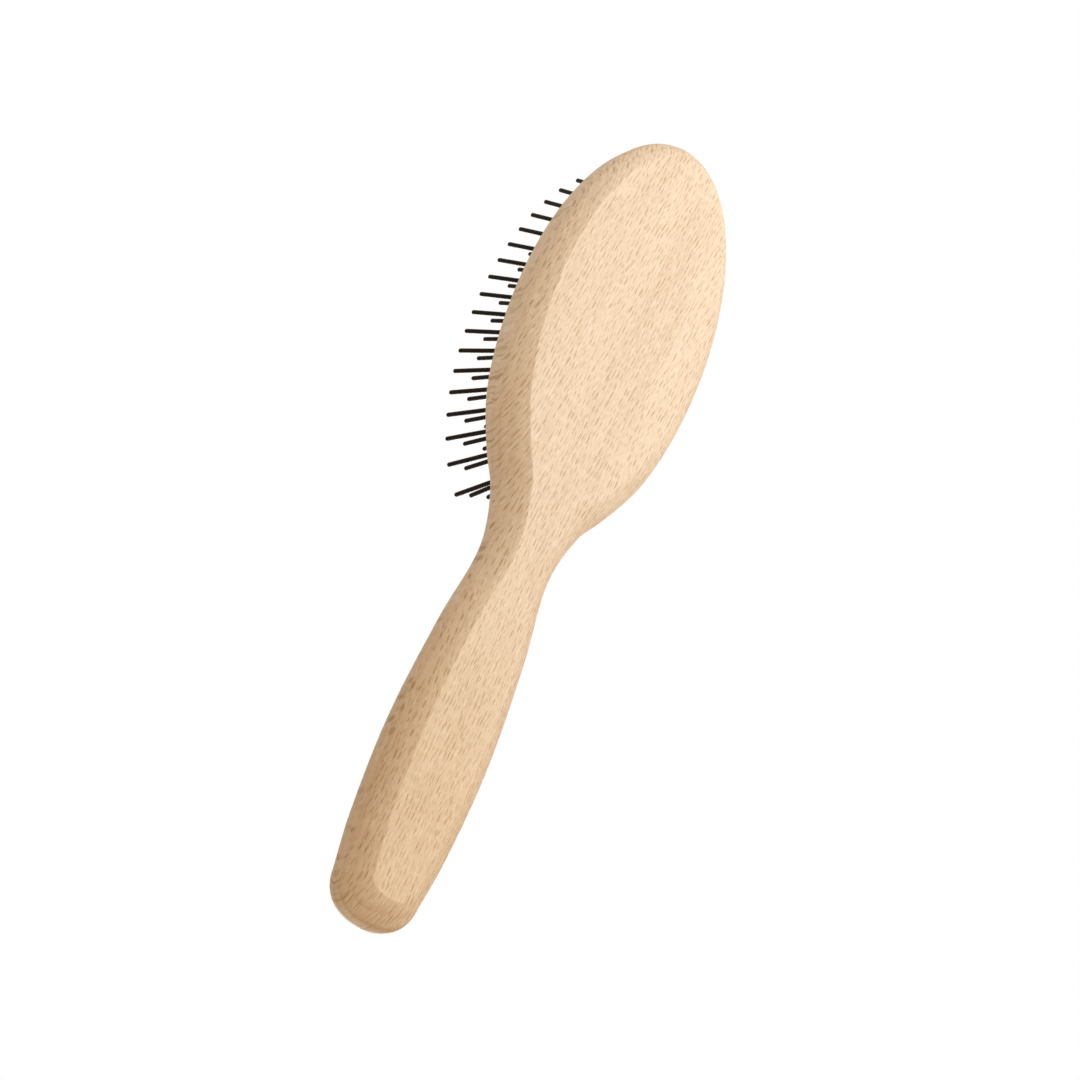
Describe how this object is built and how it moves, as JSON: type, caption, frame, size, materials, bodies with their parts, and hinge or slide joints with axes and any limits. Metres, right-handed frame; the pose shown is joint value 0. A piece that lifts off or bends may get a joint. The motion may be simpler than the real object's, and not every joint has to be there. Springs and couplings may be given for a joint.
{
  "type": "oval pin brush",
  "caption": "Oval air-cushion pin brush for pets: one-piece beech head and handle, domed rubber cushion and splayed steel pins that give and tilt.",
  "frame": {"origin": "on the flat back, under the middle of the whole brush", "axes": "+X from the handle's end to the nose of the head, +Y across, +Z out of the back through the pins"},
  "size_m": [0.2236, 0.0556, 0.0378],
  "materials": {
    "beech": "bare fine-sanded beech",
    "rubber": "matt moulded rubber",
    "pins": "dark brown baked lacquer, satin"
  },
  "bodies": {
    "handle_body": {"wooden_body": "beech"},
    "cushion": {"rubber_cushion": "rubber"},
    "pins_01": {"pin_rank_01": "pins"},
    "pins_02": {"pin_rank_02": "pins"},
    "pins_03": {"pin_rank_03": "pins"},
    "pins_04": {"pin_rank_04": "pins"},
    "pins_05": {"pin_rank_05": "pins"},
    "pins_06": {"pin_rank_06": "pins"},
    "pins_07": {"pin_rank_07": "pins"},
    "pins_08": {"pin_rank_08": "pins"},
    "pins_09": {"pin_rank_09": "pins"},
    "pins_10": {"pin_rank_10": "pins"},
    "pins_11": {"pin_rank_11": "pins"},
    "pins_12": {"pin_rank_12": "pins"},
    "pins_13": {"pin_rank_13": "pins"},
    "pins_14": {"pin_rank_14": "pins"},
    "pins_15": {"pin_rank_15": "pins"},
    "pins_16": {"pin_rank_16": "pins"},
    "pins_17": {"pin_rank_17": "pins"},
    "pins_18": {"pin_rank_18": "pins"},
    "pins_19": {"pin_rank_19": "pins"}
  },
  "joints": [
    {"name": "cushion_press", "type": "slide", "parent": "handle_body", "child": "cushion", "axis": [0, 0, -1], "range_m": [0, 0.003], "stiffness_N_per_m": 1500, "deforming": ["rubber_cushion"]},
    {"name": "rank_01_tilt", "type": "hinge", "parent": "cushion", "child": "pins_01", "pos_m": [0.01021, 0, 0.01361], "axis": [0, 1, 0], "range_deg": [-8, 8], "stiffness_Nm_per_rad": 0.03},
    {"name": "rank_02_tilt", "type": "hinge", "parent": "cushion", "child": "pins_02", "pos_m": [0.01526, 0, 0.01417], "axis": [0, 1, 0], "range_deg": [-8, 8], "stiffness_Nm_per_rad": 0.03},
    {"name": "rank_03_tilt", "type": "hinge", "parent": "cushion", "child": "pins_03", "pos_m": [0.02031, 0, 0.01466], "axis": [0, 1, 0], "range_deg": [-8, 8], "stiffness_Nm_per_rad": 0.03},
    {"name": "rank_04_tilt", "type": "hinge", "parent": "cushion", "child": "pins_04", "pos_m": [0.02536, 0, 0.01509], "axis": [0, 1, 0], "range_deg": [-8, 8], "stiffness_Nm_per_rad": 0.03},
    {"name": "rank_05_tilt", "type": "hinge", "parent": "cushion", "child": "pins_05", "pos_m": [0.03041, 0, 0.01544], "axis": [0, 1, 0], "range_deg": [-8, 8], "stiffness_Nm_per_rad": 0.03},
    {"name": "rank_06_tilt", "type": "hinge", "parent": "cushion", "child": "pins_06", "pos_m": [0.03546, 0, 0.01573], "axis": [0, 1, 0], "range_deg": [-8, 8], "stiffness_Nm_per_rad": 0.03},
    {"name": "rank_07_tilt", "type": "hinge", "parent": "cushion", "child": "pins_07", "pos_m": [0.04051, 0, 0.01595], "axis": [0, 1, 0], "range_deg": [-8, 8], "stiffness_Nm_per_rad": 0.03},
    {"name": "rank_08_tilt", "type": "hinge", "parent": "cushion", "child": "pins_08", "pos_m": [0.04556, 0, 0.01611], "axis": [0, 1, 0], "range_deg": [-8, 8], "stiffness_Nm_per_rad": 0.03},
    {"name": "rank_09_tilt", "type": "hinge", "parent": "cushion", "child": "pins_09", "pos_m": [0.05061, 0, 0.01619], "axis": [0, 1, 0], "range_deg": [-8, 8], "stiffness_Nm_per_rad": 0.03},
    {"name": "rank_10_tilt", "type": "hinge", "parent": "cushion", "child": "pins_10", "pos_m": [0.05566, 0, 0.01621], "axis": [0, 1, 0], "range_deg": [-8, 8], "stiffness_Nm_per_rad": 0.03},
    {"name": "rank_11_tilt", "type": "hinge", "parent": "cushion", "child": "pins_11", "pos_m": [0.06071, 0, 0.01616], "axis": [0, 1, 0], "range_deg": [-8, 8], "stiffness_Nm_per_rad": 0.03},
    {"name": "rank_12_tilt", "type": "hinge", "parent": "cushion", "child": "pins_12", "pos_m": [0.06576, 0, 0.01604], "axis": [0, 1, 0], "range_deg": [-8, 8], "stiffness_Nm_per_rad": 0.03},
    {"name": "rank_13_tilt", "type": "hinge", "parent": "cushion", "child": "pins_13", "pos_m": [0.07081, 0, 0.01585], "axis": [0, 1, 0], "range_deg": [-8, 8], "stiffness_Nm_per_rad": 0.03},
    {"name": "rank_14_tilt", "type": "hinge", "parent": "cushion", "child": "pins_14", "pos_m": [0.07586, 0, 0.0156], "axis": [0, 1, 0], "range_deg": [-8, 8], "stiffness_Nm_per_rad": 0.03},
    {"name": "rank_15_tilt", "type": "hinge", "parent": "cushion", "child": "pins_15", "pos_m": [0.08091, 0, 0.01528], "axis": [0, 1, 0], "range_deg": [-8, 8], "stiffness_Nm_per_rad": 0.03},
    {"name": "rank_16_tilt", "type": "hinge", "parent": "cushion", "child": "pins_16", "pos_m": [0.08596, 0, 0.01488], "axis": [0, 1, 0], "range_deg": [-8, 8], "stiffness_Nm_per_rad": 0.03},
    {"name": "rank_17_tilt", "type": "hinge", "parent": "cushion", "child": "pins_17", "pos_m": [0.09101, 0, 0.01443], "axis": [0, 1, 0], "range_deg": [-8, 8], "stiffness_Nm_per_rad": 0.03},
    {"name": "rank_18_tilt", "type": "hinge", "parent": "cushion", "child": "pins_18", "pos_m": [0.09606, 0, 0.0139], "axis": [0, 1, 0], "range_deg": [-8, 8], "stiffness_Nm_per_rad": 0.03},
    {"name": "rank_19_tilt", "type": "hinge", "parent": "cushion", "child": "pins_19", "pos_m": [0.09985, 0, 0.01346], "axis": [0, 1, 0], "range_deg": [-8, 8], "stiffness_Nm_per_rad": 0.03}
  ]
}
